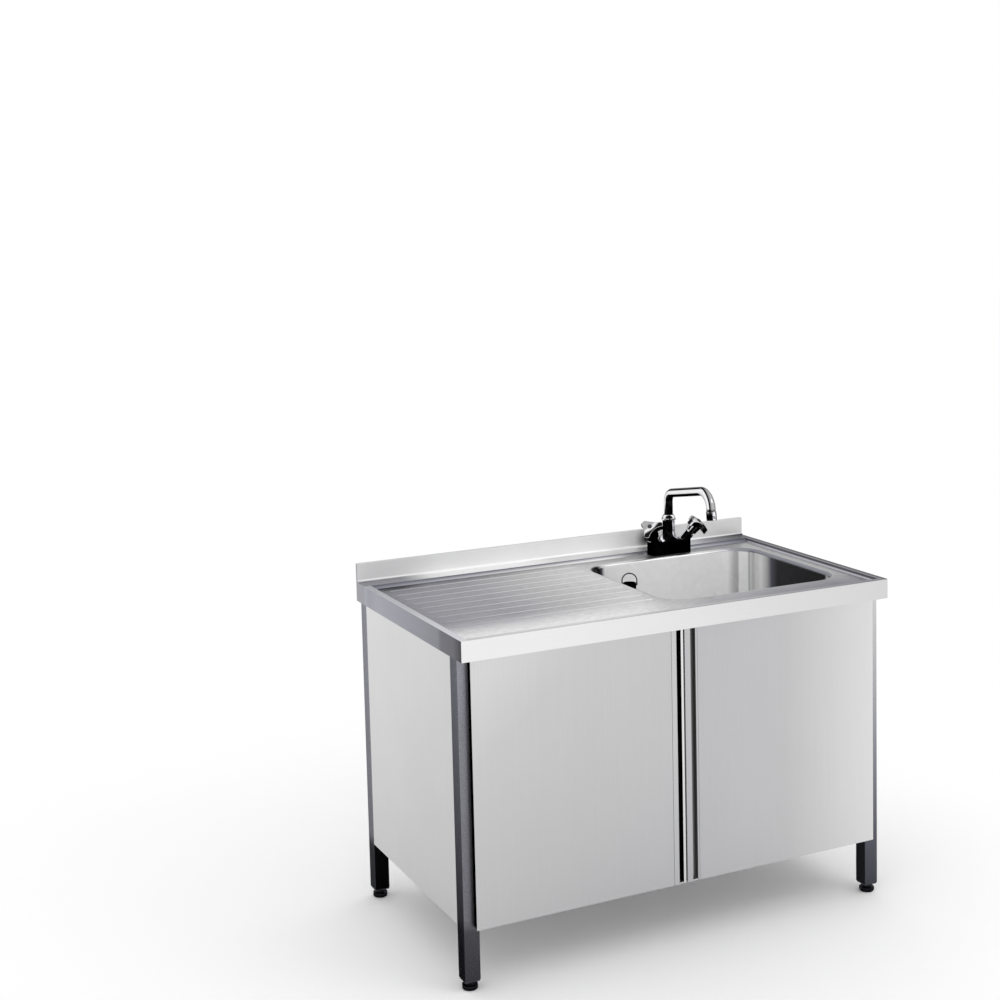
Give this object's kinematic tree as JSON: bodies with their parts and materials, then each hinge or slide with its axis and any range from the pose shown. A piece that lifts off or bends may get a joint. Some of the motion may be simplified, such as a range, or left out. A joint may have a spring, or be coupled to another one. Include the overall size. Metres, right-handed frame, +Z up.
{
  "type": "sink cabinet",
  "caption": "Free-standing sink cabinet: worktop with ribbed drainer and deep bowl, rear upstand, mixer tap with swivel spout, standpipe waste and hinged doors on square legs.",
  "frame": {"origin": "on the floor, under the middle of the worktop", "axes": "+Z up, front faces -Y, +X to the right of someone facing the doors"},
  "size_m": [1.2, 0.7, 1.0574],
  "materials": {
    "worktop_steel": "satin, fine grain along the width",
    "bowl_steel": "satin pressed bowl",
    "door_steel": "fine satin",
    "frame_steel": "satin tube",
    "chrome": "polished",
    "brass": "plain machined",
    "rubber": "matte",
    "black_plastic": "matte"
  },
  "bodies": {
    "cabinet": {"worktop": "worktop_steel", "worktop_stiffeners": "worktop_steel", "bowl": "bowl_steel", "bowl_damping_sheet": "rubber", "drain_flange": "chrome", "drain_ring": "rubber", "drain_backnut": "brass", "drain_tail": "chrome", "tap_gasket": "rubber", "tap_body": "chrome", "tap_shank": "brass", "tap_washer": "frame_steel", "tap_backnut": "brass", "supply_tails": "brass", "collar_nut": "chrome", "left_bonnet": "chrome", "right_bonnet": "chrome", "front_left_leg": "frame_steel", "front_right_leg": "frame_steel", "back_left_leg": "frame_steel", "back_right_leg": "frame_steel", "leg_plugs": "black_plastic", "top_long_rails": "frame_steel", "top_side_rails": "frame_steel", "lower_long_rails": "frame_steel", "lower_side_rails": "frame_steel", "left_side_panel": "door_steel", "right_side_panel": "door_steel", "back_panel": "door_steel", "back_rivets": "frame_steel", "bottom_shelf": "door_steel", "hinge_tongues": "frame_steel", "magnetic_catches": "black_plastic"},
    "left_door": {"left_door_skin": "door_steel", "left_door_back": "door_steel", "left_grip": "door_steel", "left_grip_caps": "black_plastic", "left_hinge_pins": "frame_steel", "left_strike": "door_steel"},
    "right_door": {"right_door_skin": "door_steel", "right_door_back": "door_steel", "right_grip": "door_steel", "right_grip_caps": "black_plastic", "right_hinge_pins": "frame_steel", "right_strike": "door_steel"},
    "spout": {"spout": "chrome", "outlet_ring": "chrome"},
    "left_tap_handle": {"left_handle": "chrome", "left_spindle": "brass", "left_disc": "chrome"},
    "right_tap_handle": {"right_handle": "chrome", "right_spindle": "brass", "right_disc": "chrome"},
    "standpipe": {"standpipe": "chrome", "standpipe_plug": "rubber"},
    "bail": {"standpipe_bail": "chrome"},
    "front_left_foot": {"front_left_foot": "frame_steel"},
    "front_right_foot": {"front_right_foot": "frame_steel"},
    "back_left_foot": {"back_left_foot": "frame_steel"},
    "back_right_foot": {"back_right_foot": "frame_steel"}
  },
  "joints": [
    {"name": "left_door_hinge", "type": "hinge", "parent": "cabinet", "child": "left_door", "pos_m": [-0.563, -0.319, 0.152], "axis": [0, 0, -1], "range_deg": [0, 100]},
    {"name": "right_door_hinge", "type": "hinge", "parent": "cabinet", "child": "right_door", "pos_m": [0.563, -0.319, 0.152], "axis": [0, 0, 1], "range_deg": [0, 100]},
    {"name": "spout_swivel", "type": "hinge", "parent": "cabinet", "child": "spout", "pos_m": [0.3045, 0.2585, 0.938], "axis": [0, 0, 1], "range_deg": [-90, 90]},
    {"name": "left_handle_turn", "type": "hinge", "parent": "cabinet", "child": "left_tap_handle", "pos_m": [0.23582, 0.23362, 0.91419], "axis": [-0.5155, -0.361, 0.7771], "range_deg": [0, 90]},
    {"name": "right_handle_turn", "type": "hinge", "parent": "cabinet", "child": "right_tap_handle", "pos_m": [0.37318, 0.23362, 0.91419], "axis": [0.5155, -0.361, 0.7771], "range_deg": [0, 90]},
    {"name": "standpipe_lift", "type": "slide", "parent": "cabinet", "child": "standpipe", "axis": [0, 0, 1], "range_m": [0, 0.25]},
    {"name": "bail_fold", "type": "hinge", "parent": "standpipe", "child": "bail", "pos_m": [0.102, 0.127, 0.8], "axis": [0.8988, -0.4384, 0], "range_deg": [-80, 80]},
    {"name": "front_left_foot_screw", "type": "slide", "parent": "cabinet", "child": "front_left_foot", "axis": [0, 0, -1], "range_m": [0, 0.02]},
    {"name": "front_right_foot_screw", "type": "slide", "parent": "cabinet", "child": "front_right_foot", "axis": [0, 0, -1], "range_m": [0, 0.02]},
    {"name": "back_left_foot_screw", "type": "slide", "parent": "cabinet", "child": "back_left_foot", "axis": [0, 0, -1], "range_m": [0, 0.02]},
    {"name": "back_right_foot_screw", "type": "slide", "parent": "cabinet", "child": "back_right_foot", "axis": [0, 0, -1], "range_m": [0, 0.02]}
  ]
}
